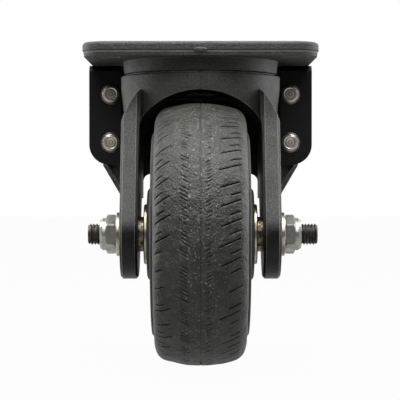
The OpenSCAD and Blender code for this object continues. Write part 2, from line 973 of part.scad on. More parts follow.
module wheel_core() {
    color("#262625")
        on_axle()
            difference() {
                union() {
                    rotate_extrude()
                        intersection() {
                            core_section();
                            translate([0, -through / 2])
                                square([through, through]);
                        }
                    for (i = [0 : rib_count - 1])
                        rotate([0, 0, i * 360 / rib_count])
                            translate([hub_r - 2, -rib_t / 2, -rib_l / 2])
                                cube([rim_r - rim_t - hub_r + 4, rib_t, rib_l]);
                }
                cylinder(h = through, r = core_bore_r, center = true);
                for (s = [-1, 1])
                    translate([0, 0, s * (bearing_in_x + through / 2)])
                        cylinder(h = through, r = bearing_r + seat_clear, center = true);
            }
}

// Plated disc on the hub's face that keeps dust off the bearing
module dust_disc(side) {
    edge = 0.5;
    hole_r = spacer_r + turn_clear;
    color("#c2b88f")
        on_side(side)
            on_axle()
                rotate_extrude()
                    polygon([
                        [hole_r, hub_x], [dust_r, hub_x], [dust_r, hub_x + dust_t - edge],
                        [dust_r - edge, hub_x + dust_t], [hole_r, hub_x + dust_t]
                    ]);
}

module left_dust_disc() { dust_disc(left); }
module right_dust_disc() { dust_disc(right); }

top_plate();
kingpin();
upper_race();
lower_cup();
fork();
head_race();
lower_race();
upper_balls();
lower_balls();
left_guard();
right_guard();
left_rivets();
right_rivets();
axle();
axle_sleeve();
left_washer();
right_washer();
left_nut();
right_nut();
left_nut_insert();
right_nut_insert();
left_spacer();
right_spacer();
left_inner_ring();
right_inner_ring();
left_bearing_balls();
right_bearing_balls();
tyre();
wheel_core();
left_outer_ring();
right_outer_ring();
left_dust_disc();
right_dust_disc();
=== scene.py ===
import math

import bmesh
import bpy
import numpy as np
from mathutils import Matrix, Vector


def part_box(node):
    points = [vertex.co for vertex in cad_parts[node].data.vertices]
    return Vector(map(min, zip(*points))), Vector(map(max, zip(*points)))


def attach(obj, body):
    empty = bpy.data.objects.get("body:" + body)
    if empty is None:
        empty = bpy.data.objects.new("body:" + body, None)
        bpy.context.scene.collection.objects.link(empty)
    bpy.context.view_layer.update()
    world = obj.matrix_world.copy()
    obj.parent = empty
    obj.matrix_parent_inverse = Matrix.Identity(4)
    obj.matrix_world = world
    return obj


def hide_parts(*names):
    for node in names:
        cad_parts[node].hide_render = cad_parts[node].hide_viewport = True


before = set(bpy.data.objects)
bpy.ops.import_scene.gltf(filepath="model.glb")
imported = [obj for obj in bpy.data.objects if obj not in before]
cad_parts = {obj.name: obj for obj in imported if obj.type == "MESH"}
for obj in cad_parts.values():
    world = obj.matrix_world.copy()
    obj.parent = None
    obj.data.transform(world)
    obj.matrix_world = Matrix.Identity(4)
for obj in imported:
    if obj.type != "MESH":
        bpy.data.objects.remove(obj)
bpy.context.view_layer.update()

MM = 0.001
TURN = 2 * math.pi

# The plate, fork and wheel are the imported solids. Places below come from their boxes, in mm.
tyre_low, tyre_high = (np.array(corner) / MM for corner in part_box("tyre"))
axle_low, axle_high = (np.array(corner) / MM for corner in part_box("axle"))
plate_low = np.array(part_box("top_plate")[0]) / MM
rivets_low, rivets_high = (np.array(corner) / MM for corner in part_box("right_rivets"))
axle_y, axle_z = (tyre_low + tyre_high)[1:] / 2

# Tyre section: a crowned tread that turns into straight sides over a rounded shoulder, and inside
# it the seat on the rim with the key that keeps the tyre from walking off.
TYRE_R = (tyre_high[2] - tyre_low[2]) / 2
TYRE_HALF_W = (tyre_high[0] - tyre_low[0]) / 2
CROWN_R = 65.0
SHOULDER_R = 9.0
SEAT_R = 57.05
KEY_HALF_W = 9.05
KEY_R = 59.55
SHOULDER_X = TYRE_HALF_W - SHOULDER_R
JOIN_TURN = math.asin(SHOULDER_X / (CROWN_R - SHOULDER_R))
SHOULDER_CENTRE_R = TYRE_R - CROWN_R + (CROWN_R - SHOULDER_R) * math.cos(JOIN_TURN)
CROWN_LENGTH = CROWN_R * JOIN_TURN
SIDE_START = CROWN_LENGTH + SHOULDER_R * (math.pi / 2 - JOIN_TURN)
SECTION_LENGTH = SIDE_START + SHOULDER_CENTRE_R - SEAT_R

# Tread: fine strokes all round, in rows. A row reaches from first to last, in mm from the middle
# line, holds one stroke out of every so many, counted from start, is cut this deep in mm, and has
# lost this share of its strokes to wear. The lips beside a stroke rise by LIP_SHARE of its depth.
STROKES = 220
STROKE_W = 0.9
STROKE_FADE = 1.2
STROKE_JITTER = 0.12
LONG_CUT = 0.75
SHORT_CUT = 0.65
FINE_CUT = 0.34
LIP_SHARE = 0.2
TREAD_SEED = 7
TREAD_ROWS = (
    dict(first=-25.5, last=-15.5, every=5, start=0, deep=LONG_CUT, worn=0.10),
    dict(first=-25.5, last=-19.8, every=5, start=2, deep=SHORT_CUT, worn=0.15),
    dict(first=-11.2, last=-5.8, every=1, start=0, deep=FINE_CUT, worn=0.30),
    dict(first=2.6, last=6.4, every=1, start=0, deep=FINE_CUT, worn=0.25),
    dict(first=9.8, last=22.0, every=5, start=1, deep=LONG_CUT, worn=0.10),
    dict(first=14.8, last=22.0, every=5, start=3, deep=SHORT_CUT, worn=0.15),
)

# How the strokes lean: mm round the tyre per mm across it, at these distances from the middle line.
LEAN_AT = (-13, -11.5, -5.5, -4, 1.5, 2.5, 7, 9)
LEAN = (0.53, -0.6, -0.6, 0, 0, 0.6, 0.6, 0.42)

# Points across half the tread: close together on the crown, wider on the shoulder. Strokes and wear
# die out from EDGE_EASE before the straight side to SIDE_EASE past its start.
CLOSE_HALF_W = 20.0
CLOSE_POINTS = 46
SHOULDER_GAP = 0.5
SHOULDER_POINTS = 22
SIDE_EASE = 2.0
EDGE_EASE = 3.0

# Wear: slow waves round the tread, and the moulding's groove along the middle line.
WAVES = 14
WAVE_COUNTS = (3, 40)
WAVE_DRIFT = 0.25
WAVE_HEIGHT = 0.035
GROOVE_DEPTH = 0.25
GROOVE_HALF_W = 0.35

# The M12 thread on both ends of the stud, a little shallower than a new one, and the stud's chamfer.
THREAD_PITCH = 1.75
THREAD_DEPTH = 0.95
THREAD_LENGTH = 24.0
THREAD_POINTS = 150
RUNOUT_START = 3.0
RUNOUT_END = 0.5
END_CHAMFER = 1.1
ROUND_POINTS = 56

# Marks of moulding: where each one sits, and half its size in X, Y and Z.
GATE_Z = -4.6
GATE_HALF = (4.2, 0.7, 1.1)
HEAD_FRONT_Y = -46.45
SEAM_Z = -21.0
SEAM_HALF = (0.28, 0.3, 4.2)
NIB_X = 0.3
NIB_FORWARD = 0.30 * TYRE_R
NIB_DOWN = 0.952 * TYRE_R
NIB_HALF = (0.5, 0.9, 0.9)
BEAD_RINGS = 13
BEAD_POINTS = 24


def surface(name, grid, wrap=(False, False), flip=False, poles=False, **attributes):
    """A piece made of quads over a grid of points in mm. wrap joins the last row, or the last
    column, to the first. flip turns the faces over. poles merges rows that have shrunk to one
    point. Each attribute is one number per point, for the material to read."""
    rows, columns = grid.shape[:2]
    index = np.arange(rows * columns).reshape(rows, columns)
    if wrap[0]:
        index = np.vstack([index, index[:1]])
    if wrap[1]:
        index = np.hstack([index, index[:, :1]])
    corners = [index[:-1, :-1], index[1:, :-1], index[1:, 1:], index[:-1, 1:]]
    quads = np.stack(corners[::-1] if flip else corners, -1).reshape(-1, 4)
    mesh = bpy.data.meshes.new(name)
    mesh.from_pydata((grid.reshape(-1, 3) * MM).tolist(), [], quads.tolist())
    for label, values in attributes.items():
        layer = mesh.attributes.new(label, "FLOAT", "POINT")
        layer.data.foreach_set("value", values.astype(np.float32).ravel())
    if poles:
        merge_poles(mesh)
    mesh.shade_smooth()
    piece = bpy.data.objects.new(name, mesh)
    bpy.context.collection.objects.link(piece)
    return piece


def merge_poles(mesh):
    """Points closer than a thousandth of a millimetre become one, which closes a pole."""
    shell = bmesh.new()
    shell.from_mesh(mesh)
    bmesh.ops.remove_doubles(shell, verts=shell.verts, dist=0.001 * MM)
    shell.to_mesh(mesh)
    shell.free()


def ramp(values, start, end):
    """0 up to start, 1 from end on, and a smooth change between. start may be the larger one."""
    t = np.clip((values - start) / (end - start), 0, 1)
    return t * t * (3 - 2 * t)


def tyre_section(across):
    """x, radius and outward turn at a distance across the tread from its middle line: first along
    the crown's arc, then round the shoulder's arc, then straight down the side."""
    way = np.abs(across)
    past_crown = np.clip(way - CROWN_LENGTH, 0, SIDE_START - CROWN_LENGTH)
    turn = np.minimum(way, CROWN_LENGTH) / CROWN_R + past_crown / SHOULDER_R
    drop = np.maximum(way - SIDE_START, 0)
    on_crown = way <= CROWN_LENGTH
    x = np.where(on_crown, CROWN_R * np.sin(turn), SHOULDER_X + SHOULDER_R * np.sin(turn))
    crown_r = TYRE_R - CROWN_R + CROWN_R * np.cos(turn)
    shoulder_r = SHOULDER_CENTRE_R + SHOULDER_R * np.cos(turn)
    r = np.where(on_crown, crown_r, shoulder_r) - drop
    return np.sign(across) * x, r, np.sign(across) * turn


def tread_strokes(across, rng):
    """How deep each stroke is at each place across: a window between the stroke's two ends, which
    fade, for each row of the tread. Long and short cuts take turns on the shoulders, and fine
    strokes stand close together beside the middle."""
    number = np.arange(STROKES)
    depth = np.zeros((STROKES, len(across)))
    for row in TREAD_ROWS:
        first = row["first"] + rng.normal(0, 0.5, STROKES)
        last = row["last"] + rng.normal(0, 0.5, STROKES)
        strength = rng.uniform(0.55, 1.0, STROKES) * (rng.random(STROKES) > row["worn"])
        strength *= (number - row["start"]) % row["every"] == 0
        opens = ramp(across[None, :], first[:, None], first[:, None] + STROKE_FADE)
        closes = ramp(-across[None, :], -last[:, None], STROKE_FADE - last[:, None])
        depth += row["deep"] * strength[:, None] * opens * closes
    return depth


def build_tyre():
    """The tyre's section carried round the axle. Three columns of points stand at each stroke, its
    two lips and its floor, and all columns lean with the tread: the lean is the running sum of
    the row's slope. Slow waves round the tread give it the wear of a rolled wheel."""
    rng = np.random.default_rng(TREAD_SEED)
    half = np.concatenate([
        np.linspace(0, CLOSE_HALF_W, CLOSE_POINTS),
        np.linspace(CLOSE_HALF_W + SHOULDER_GAP, SIDE_START, SHOULDER_POINTS),
        [SIDE_START + SIDE_EASE, SECTION_LENGTH],
    ])
    across = np.concatenate([-half[:0:-1], half])
    x, r, turn = tyre_section(across)
    slope = np.interp(across, LEAN_AT, LEAN)
    lean = np.concatenate([[0], np.cumsum((slope[1:] + slope[:-1]) / 2 * np.diff(across))])
    lean -= lean[len(across) // 2]

    depth = tread_strokes(across, rng)
    lines = 3 * STROKES
    sides = np.array([-0.5, 0, 0.5]) * STROKE_W
    pitch = TURN * TYRE_R / STROKES
    jitter = rng.normal(0, STROKE_JITTER, STROKES)
    along = (np.arange(STROKES) * pitch + jitter)[:, None] + sides
    angle = ((along[:, :, None] + lean) / TYRE_R).reshape(lines, -1)
    cut = depth[:, None, :] * np.array([0, 1, 0])[:, None]
    lip = LIP_SHARE * depth[:, None, :] * np.array([1, 0, 1])[:, None]
    rise = (lip - cut).reshape(lines, -1)
    counts = rng.integers(*WAVE_COUNTS, WAVES)
    phases = rng.uniform(0, TURN, WAVES)
    drifts = rng.normal(0, WAVE_DRIFT, WAVES)
    rise += WAVE_HEIGHT * sum(
        np.sin(count * angle + phase + drift * across)
        for count, phase, drift in zip(counts, phases, drifts)
    )
    rise -= GROOVE_DEPTH * np.exp(-((across / GROOVE_HALF_W) ** 2))
    rise *= ramp(SIDE_START - np.abs(across), -SIDE_EASE, EDGE_EASE)
    outer_x = x + rise * np.sin(turn)
    outer_r = r + rise * np.cos(turn)

    seat_x = np.array([KEY_HALF_W, KEY_HALF_W, -KEY_HALF_W, -KEY_HALF_W])
    seat_r = np.array([SEAT_R, KEY_R, KEY_R, SEAT_R])
    seat_angle = np.repeat(angle[:, [-1, 0]], 2, axis=1)
    each_line = np.ones((lines, 1))
    grid_x = np.hstack([outer_x, each_line * seat_x])
    grid_r = np.hstack([outer_r, each_line * seat_r])
    grid_angle = np.hstack([angle, seat_angle])
    grid = np.stack(
        [grid_x, axle_y - grid_r * np.cos(grid_angle), axle_z + grid_r * np.sin(grid_angle)], -1
    )
    bare_seat = np.zeros((lines, len(seat_x)))
    cut_share = np.hstack([cut.reshape(lines, -1) / LONG_CUT, bare_seat])
    side_share = np.hstack([each_line * across / TYRE_HALF_W, bare_seat])
    return surface("tread", grid, wrap=(True, True), flip=True, cut=cut_share, across=side_share)


def build_axle():
    """A rod turned about the axle: its radius is the thread's outside less a triangle wave of the
    distance along it less the turn, where it is threaded, and its ends are chamfered and closed."""
    low, high = axle_low[0], axle_high[0]
    radius = (axle_high[2] - axle_low[2]) / 2
    x = np.concatenate([
        np.linspace(low, low + THREAD_LENGTH, THREAD_POINTS),
        np.linspace(high - THREAD_LENGTH, high, THREAD_POINTS),
    ])
    angle = np.linspace(0, TURN, ROUND_POINTS, endpoint=False)
    wave = np.abs(((x[:, None] / THREAD_PITCH - angle / TURN) % 1) * 2 - 1)
    to_end = np.minimum(x - low, high - x)
    threaded = ramp(to_end, THREAD_LENGTH - RUNOUT_END, THREAD_LENGTH - RUNOUT_START)
    r = radius - THREAD_DEPTH * wave * threaded[:, None]
    r = np.minimum(r, radius - END_CHAMFER + to_end[:, None])
    pole = np.zeros((1, ROUND_POINTS))
    x = np.concatenate([[low], x, [high]])
    r = np.vstack([pole, r, pole])
    grid = np.stack(
        [x[:, None] + 0 * r, axle_y + r * np.cos(angle), axle_z + r * np.sin(angle)], -1
    )
    return surface("threaded_axle", grid, wrap=(False, True), flip=True, poles=True)


def build_bead(name, centre, half_size):
    """A small closed lump of moulding flash: an ellipsoid, from pole to pole, half sunk in."""
    down = np.linspace(0, math.pi, BEAD_RINGS)[:, None]
    around = np.linspace(0, TURN, BEAD_POINTS, endpoint=False)
    unit = np.stack([np.sin(down) * np.cos(around), np.sin(down) * np.sin(around),
                     np.cos(down) + 0 * around], -1)
    return surface(name, np.array(centre) + unit * half_size, wrap=(False, True), poles=True)


tread = build_tyre()
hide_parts("tyre")
axle = build_axle()
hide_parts("axle")
gate = build_bead("gate_mark", (0, plate_low[1], GATE_Z), GATE_HALF)
seam = build_bead("head_seam", (0, HEAD_FRONT_Y, SEAM_Z), SEAM_HALF)
nib = build_bead("mould_nib", (NIB_X, axle_y - NIB_FORWARD, axle_z - NIB_DOWN), NIB_HALF)
for piece, body, slot in (
    (tread, "wheel", "tyre_rubber"),
    (nib, "wheel", "tyre_rubber"),
    (axle, "fork", "axle_steel"),
    (seam, "fork", "fork_nylon"),
    (gate, "plate", "plate_nylon"),
):
    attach(piece, body)


# Materials

# The colour sockets of a Mix node.
MIX_A, MIX_B, MIX_OUT = 6, 7, 2

# Sizes of the finishes' patterns, in mm. The real grain of the nylon, the pits of the steel and the
# grit on the rubber are finer, and are drawn this coarse so that they show.
NYLON_GRAIN = 0.7
NYLON_SMEAR = 14
NYLON_ARRIS = 0.7
POLISH_FADE = 8
# Half widths, in mm, of the pale line painted as the highlight along the plate's front.
HIGHLIGHT_EDGE, HIGHLIGHT_CORE = 0.55, 0.2
PLAIN_MIDDLE, MIDDLE_END = 0.8, 1.6
STEEL_PIT = 0.6
STEEL_ARRIS = 0.4
RIVET_RING = 1.5
RIVET_RING_DEPTH = 0.02
RIVET_DOME = 60
TYRE_GRIME = 22
TYRE_SCUFF = 4.5
TYRE_GRIT = 1.1
COAT_PEEL = 1.6
COAT_ARRIS = 0.8

# Heights in the plate and the fork, in mm: where the plate's die parted, along which a pale line is
# painted as the highlight of the plate's front, and where the polish of the fork's die begins, just
# above the axle.
HIGHLIGHT_LINE_Z = -5.6
POLISH_Z = axle_z + 2


def linear(colour):
    """Linear RGBA of an sRGB hex colour."""
    srgb = np.array([int(colour[i:i + 2], 16) for i in (1, 3, 5)]) / 255
    rgb = np.where(srgb <= 0.04045, srgb / 12.92, ((srgb + 0.055) / 1.055) ** 2.4)
    return (*rgb.tolist(), 1.0)


def per_mm(size):
    """The scale at which a noise has features of about this size in mm."""
    return 1 / (size * MM)


def add(tree, kind, inputs=None, **settings):
    """Adds a node with its settings. Each input is a socket to link or a value to set."""
    node = tree.nodes.new(kind)
    for name, value in settings.items():
        setattr(node, name, value)
    for name, value in (inputs or {}).items():
        if isinstance(value, bpy.types.NodeSocket):
            tree.links.new(value, node.inputs[name])
        else:
            node.inputs[name].default_value = value
    return node


def new_material(name, **constants):
    """A material, its node tree, and its shader with these constants set."""
    made = bpy.data.materials.new(name)
    made.use_nodes = True
    tree = made.node_tree
    shader = tree.nodes["Principled BSDF"]
    for socket, value in constants.items():
        shader.inputs[socket.replace("_", " ")].default_value = value
    return made, tree, shader


def moulded_nylon(name, dark, light, highlight_colour, smooth_below=None, highlight_z=None):
    """Glass-filled nylon from a spark-eroded die: a fine pebbled grain that glitters grey where
    light grazes it, and a painted highlight along the arrises, paler than the faces, save on the
    middle plane. Below the height in smooth_below the die was polished, which leaves a smoother skin,
    and the colour is made near black there, darker towards the bottom. At highlight_z a thin broken
    pale line is painted as the highlight of the plate's front edge, along the die's parting line."""
    made, tree, shader = new_material(name, IOR=1.53)
    place = add(tree, "ShaderNodeTexCoord").outputs["Object"]
    axes = add(tree, "ShaderNodeSeparateXYZ", {0: place}).outputs
    grain = add(tree, "ShaderNodeTexNoise", {
        "Vector": place, "Scale": per_mm(NYLON_GRAIN), "Detail": 2.0})
    smear = add(tree, "ShaderNodeTexNoise", {
        "Vector": place, "Scale": per_mm(NYLON_SMEAR), "Detail": 3.0})
    speck = add(tree, "ShaderNodeMapRange", {
        "Value": grain.outputs["Fac"], "From Min": 0.42, "From Max": 0.68})
    face = add(tree, "ShaderNodeMix", {
        "Factor": speck.outputs["Result"], MIX_A: linear(dark), MIX_B: linear(light)}, data_type="RGBA")
    rough = add(tree, "ShaderNodeMapRange", {
        "Value": smear.outputs["Fac"], "From Min": 0.3, "From Max": 0.7, "To Min": 0.5, "To Max": 0.66})
    if smooth_below is not None:
        smooth_and_dark = add(tree, "ShaderNodeMapRange", {
            "Value": axes["Z"], "From Min": (smooth_below + POLISH_FADE) * MM,
            "From Max": smooth_below * MM})
        # Below smooth_below the colour is made near black, darker towards the bottom; the roughness and
        # sheen drop there too.
        face = add(tree, "ShaderNodeMix", {
            "Factor": smooth_and_dark.outputs["Result"],
            MIX_A: face.outputs[MIX_OUT], MIX_B: linear("#0a0a0a")}, data_type="RGBA")
        rough = add(tree, "ShaderNodeMapRange", {
            "Value": smooth_and_dark.outputs["Result"], "To Min": rough.outputs["Result"], "To Max": 0.3})
        sheen = add(tree, "ShaderNodeMapRange", {
            "Value": smooth_and_dark.outputs["Result"], "To Min": 0.5, "To Max": 0.28})
        tree.links.new(sheen.outputs["Result"], shader.inputs["Specular IOR Level"])
    # Painted highlight: a thin broken pale line along the plate's front, where its edge catches the
    # light, at the die's parting line.
    if highlight_z is not None:
        off_line = add(tree, "ShaderNodeMath", {0: axes["Z"], 1: -highlight_z * MM}, operation="ADD")
        away = add(tree, "ShaderNodeMath", {0: off_line.outputs[0]}, operation="ABSOLUTE")
        line = add(tree, "ShaderNodeMapRange", {
            "Value": away.outputs[0], "From Min": HIGHLIGHT_EDGE * MM, "From Max": HIGHLIGHT_CORE * MM})
        broken = add(tree, "ShaderNodeMath", {
            0: line.outputs["Result"], 1: smear.outputs["Fac"]}, operation="MULTIPLY")
        face = add(tree, "ShaderNodeMix", {
            "Factor": broken.outputs[0], MIX_A: face.outputs[MIX_OUT], MIX_B: linear("#a4a4a0")},
            data_type="RGBA")
    rounded = add(tree, "ShaderNodeBevel", {"Radius": NYLON_ARRIS * MM}, samples=8)
    flat = add(tree, "ShaderNodeNewGeometry")
    meet = add(tree, "ShaderNodeVectorMath", {
        0: rounded.outputs["Normal"], 1: flat.outputs["Normal"]}, operation="DOT_PRODUCT")
    arris = add(tree, "ShaderNodeMapRange", {
        "Value": meet.outputs["Value"], "From Min": 0.992, "From Max": 0.972, "To Max": 0.9})
    off_middle = add(tree, "ShaderNodeMath", {0: axes["X"]}, operation="ABSOLUTE")
    beside = add(tree, "ShaderNodeMapRange", {
        "Value": off_middle.outputs[0], "From Min": PLAIN_MIDDLE * MM, "From Max": MIDDLE_END * MM})
    # Painted highlight: the arrises are coloured paler than the faces, as where light catches them,
    # except near the middle plane.
    worn = add(tree, "ShaderNodeMath", {
        0: arris.outputs["Result"], 1: beside.outputs["Result"]}, operation="MULTIPLY")
    colour = add(tree, "ShaderNodeMix", {
        "Factor": worn.outputs[0], MIX_A: face.outputs[MIX_OUT], MIX_B: linear(highlight_colour)},
        data_type="RGBA")
    bump = add(tree, "ShaderNodeBump", {
        "Height": grain.outputs["Fac"], "Normal": rounded.outputs["Normal"],
        "Strength": 0.9, "Distance": 0.35 * MM})
    tree.links.new(colour.outputs[MIX_OUT], shader.inputs["Base Color"])
    tree.links.new(rough.outputs["Result"], shader.inputs["Roughness"])
    tree.links.new(bump.outputs["Normal"], shader.inputs["Normal"])
    return made


def cloudy_steel(name, bright, dull, patch, roughness, pit):
    """Steel under a plated, rusted or ground skin: a metal that is duller and rougher in clouds of
    the size in patch, in mm, with fine pits as strong as pit and arrises that catch the light."""
    made, tree, shader = new_material(name, Metallic=1.0)
    place = add(tree, "ShaderNodeTexCoord").outputs["Object"]
    cloud = add(tree, "ShaderNodeTexNoise", {"Vector": place, "Scale": per_mm(patch), "Detail": 4.0})
    fine = add(tree, "ShaderNodeTexNoise", {"Vector": place, "Scale": per_mm(STEEL_PIT), "Detail": 2.0})
    share = add(tree, "ShaderNodeMapRange", {
        "Value": cloud.outputs["Fac"], "From Min": 0.4, "From Max": 0.65})
    colour = add(tree, "ShaderNodeMix", {
        "Factor": share.outputs["Result"], MIX_A: linear(bright), MIX_B: linear(dull)}, data_type="RGBA")
    rough = add(tree, "ShaderNodeMapRange", {
        "Value": cloud.outputs["Fac"], "From Min": 0.3, "From Max": 0.7,
        "To Min": roughness, "To Max": roughness + 0.15})
    rounded = add(tree, "ShaderNodeBevel", {"Radius": STEEL_ARRIS * MM}, samples=6)
    bump = add(tree, "ShaderNodeBump", {
        "Height": fine.outputs["Fac"], "Normal": rounded.outputs["Normal"],
        "Strength": pit, "Distance": 0.1 * MM})
    tree.links.new(colour.outputs[MIX_OUT], shader.inputs["Base Color"])
    tree.links.new(rough.outputs["Result"], shader.inputs["Roughness"])
    tree.links.new(bump.outputs["Normal"], shader.inputs["Normal"])
    return made


def spun_rivet_steel():
    """A rivet head of bright steel, formed by a spun punch: a low dome with fine rings round its
    middle, coloured darker and browner in their grooves. The rings follow the distance to the nearest of
    the four rivets, found by folding X about zero and Z about the middle of the pair."""
    made, tree, shader = new_material("spun rivet steel", Metallic=1.0, Roughness=0.4)
    place = add(tree, "ShaderNodeTexCoord").outputs["Object"]
    head_r = (rivets_high - rivets_low)[0] / 2
    centre = (rivets_high + rivets_low) / 2
    apart = (rivets_high - rivets_low)[2] / 2 - head_r
    axes = add(tree, "ShaderNodeSeparateXYZ", {0: place}).outputs
    side = add(tree, "ShaderNodeMath", {0: axes["X"]}, operation="ABSOLUTE")
    across = add(tree, "ShaderNodeMath", {0: side.outputs[0], 1: -centre[0] * MM}, operation="ADD")
    off_middle = add(tree, "ShaderNodeMath", {0: axes["Z"], 1: -centre[2] * MM}, operation="ADD")
    folded = add(tree, "ShaderNodeMath", {0: off_middle.outputs[0]}, operation="ABSOLUTE")
    upright = add(tree, "ShaderNodeMath", {0: folded.outputs[0], 1: -apart * MM}, operation="ADD")
    offset = add(tree, "ShaderNodeCombineXYZ", {0: across.outputs[0], 1: upright.outputs[0]})
    distance = add(tree, "ShaderNodeVectorMath", {0: offset.outputs[0]}, operation="LENGTH")
    radius = distance.outputs["Value"]
    turns = add(tree, "ShaderNodeMath", {0: radius, 1: TURN * per_mm(RIVET_RING)}, operation="MULTIPLY")
    ring = add(tree, "ShaderNodeMath", {0: turns.outputs[0]}, operation="SINE")
    square = add(tree, "ShaderNodeMath", {0: radius, 1: radius}, operation="MULTIPLY")
    dome = add(tree, "ShaderNodeMath", {
        0: square.outputs[0], 1: -per_mm(RIVET_DOME)}, operation="MULTIPLY")
    height = add(tree, "ShaderNodeMath", {
        0: ring.outputs[0], 1: RIVET_RING_DEPTH * MM, 2: dome.outputs[0]}, operation="MULTIPLY_ADD")
    groove = add(tree, "ShaderNodeMapRange", {
        "Value": ring.outputs[0], "From Min": 0.2, "From Max": -1.0})
    # The grooves of the rings are coloured darker and browner.
    colour = add(tree, "ShaderNodeMix", {
        "Factor": groove.outputs["Result"], MIX_A: linear("#e0dbd2"), MIX_B: linear("#998e80")},
        data_type="RGBA")
    bump = add(tree, "ShaderNodeBump", {"Height": height.outputs[0], "Strength": 1.0, "Distance": 1.0})
    tree.links.new(colour.outputs[MIX_OUT], shader.inputs["Base Color"])
    tree.links.new(bump.outputs["Normal"], shader.inputs["Normal"])
    return made


def rubber_tyre():
    """Carbon-black rubber, moulded and rolled: matt, grey with ground-in dust where the crown is
    worn, scuffed all round, with painted shade inside the cuts, which are made near black and lose their
    sheen, with pale grit that is thickest on the middle and a fine dark line there, where the two halves
    of the mould met."""
    made, tree, shader = new_material("moulded rubber", IOR=1.52, Roughness=0.37)
    place = add(tree, "ShaderNodeTexCoord").outputs["Object"]
    cut = add(tree, "ShaderNodeAttribute", attribute_name="cut").outputs["Fac"]
    across = add(tree, "ShaderNodeAttribute", attribute_name="across").outputs["Fac"]
    grime = add(tree, "ShaderNodeTexNoise", {
        "Vector": place, "Scale": per_mm(TYRE_GRIME), "Detail": 5.0, "Roughness": 0.65})
    grit = add(tree, "ShaderNodeTexNoise", {
        "Vector": place, "Scale": per_mm(TYRE_GRIT), "Detail": 4.0})
    scuff = add(tree, "ShaderNodeTexNoise", {
        "Vector": place, "Scale": per_mm(TYRE_SCUFF), "Detail": 5.0, "Roughness": 0.7})
    share = add(tree, "ShaderNodeMapRange", {
        "Value": grime.outputs["Fac"], "From Min": 0.38, "From Max": 0.62})
    dusty = add(tree, "ShaderNodeMix", {
        "Factor": share.outputs["Result"], MIX_A: linear("#191918"), MIX_B: linear("#34342f")},
        data_type="RGBA")
    rubbed = add(tree, "ShaderNodeMapRange", {
        "Value": scuff.outputs["Fac"], "From Min": 0.5, "From Max": 0.68, "To Max": 0.55})
    scuffed = add(tree, "ShaderNodeMix", {
        "Factor": rubbed.outputs["Result"], MIX_A: dusty.outputs[MIX_OUT], MIX_B: linear("#54544d")},
        data_type="RGBA")
    off_middle = add(tree, "ShaderNodeMath", {0: across}, operation="ABSOLUTE")
    amount = add(tree, "ShaderNodeMapRange", {
        "Value": off_middle.outputs[0], "From Min": 0.25, "From Max": 0.55,
        "To Min": 0.9, "To Max": 0.2})
    speck = add(tree, "ShaderNodeMapRange", {
        "Value": grit.outputs["Fac"], "From Min": 0.59, "From Max": 0.69,
        "To Max": amount.outputs["Result"]})
    gritty = add(tree, "ShaderNodeMix", {
        "Factor": speck.outputs["Result"], MIX_A: scuffed.outputs[MIX_OUT], MIX_B: linear("#8c8c82")},
        data_type="RGBA")
    seam = add(tree, "ShaderNodeMapRange", {
        "Value": off_middle.outputs[0], "From Min": 0.03, "From Max": 0.005, "To Max": 0.7})
    seamed = add(tree, "ShaderNodeMix", {
        "Factor": seam.outputs["Result"], MIX_A: gritty.outputs[MIX_OUT], MIX_B: linear("#0c0c0b")},
        data_type="RGBA")
    # Painted shade: by how deep they are, the cuts are coloured near black and their sheen is taken
    # away.
    depth = add(tree, "ShaderNodeMapRange", {"Value": cut, "From Min": 0.05, "From Max": 0.3})
    colour = add(tree, "ShaderNodeMix", {
        "Factor": depth.outputs["Result"], MIX_A: seamed.outputs[MIX_OUT], MIX_B: linear("#030303")},
        data_type="RGBA")
    sheen = add(tree, "ShaderNodeMapRange", {
        "Value": depth.outputs["Result"], "To Min": 0.42, "To Max": 0.0})
    pitted = add(tree, "ShaderNodeBump", {
        "Height": scuff.outputs["Fac"], "Strength": 0.8, "Distance": 1.5 * MM})
    bump = add(tree, "ShaderNodeBump", {
        "Height": grit.outputs["Fac"], "Normal": pitted.outputs["Normal"],
        "Strength": 1.0, "Distance": 0.5 * MM})
    tree.links.new(sheen.outputs["Result"], shader.inputs["Specular IOR Level"])
    tree.links.new(colour.outputs[MIX_OUT], shader.inputs["Base Color"])
    tree.links.new(bump.outputs["Normal"], shader.inputs["Normal"])
    return made


def powder_coat():
    """Black powder-coated sheet: smooth, faintly pebbled, with a low sheen."""
    made, tree, shader = new_material(
        "black powder coat", Base_Color=linear("#141414"), IOR=1.5, Roughness=0.42,
        Specular_IOR_Level=0.3)
    place = add(tree, "ShaderNodeTexCoord").outputs["Object"]
    peel = add(tree, "ShaderNodeTexNoise", {"Vector": place, "Scale": per_mm(COAT_PEEL), "Detail": 1.0})
    rounded = add(tree, "ShaderNodeBevel", {"Radius": COAT_ARRIS * MM}, samples=6)
    bump = add(tree, "ShaderNodeBump", {
        "Height": peel.outputs["Fac"], "Normal": rounded.outputs["Normal"],
        "Strength": 0.12, "Distance": 0.2 * MM})
    tree.links.new(bump.outputs["Normal"], shader.inputs["Normal"])
    return made
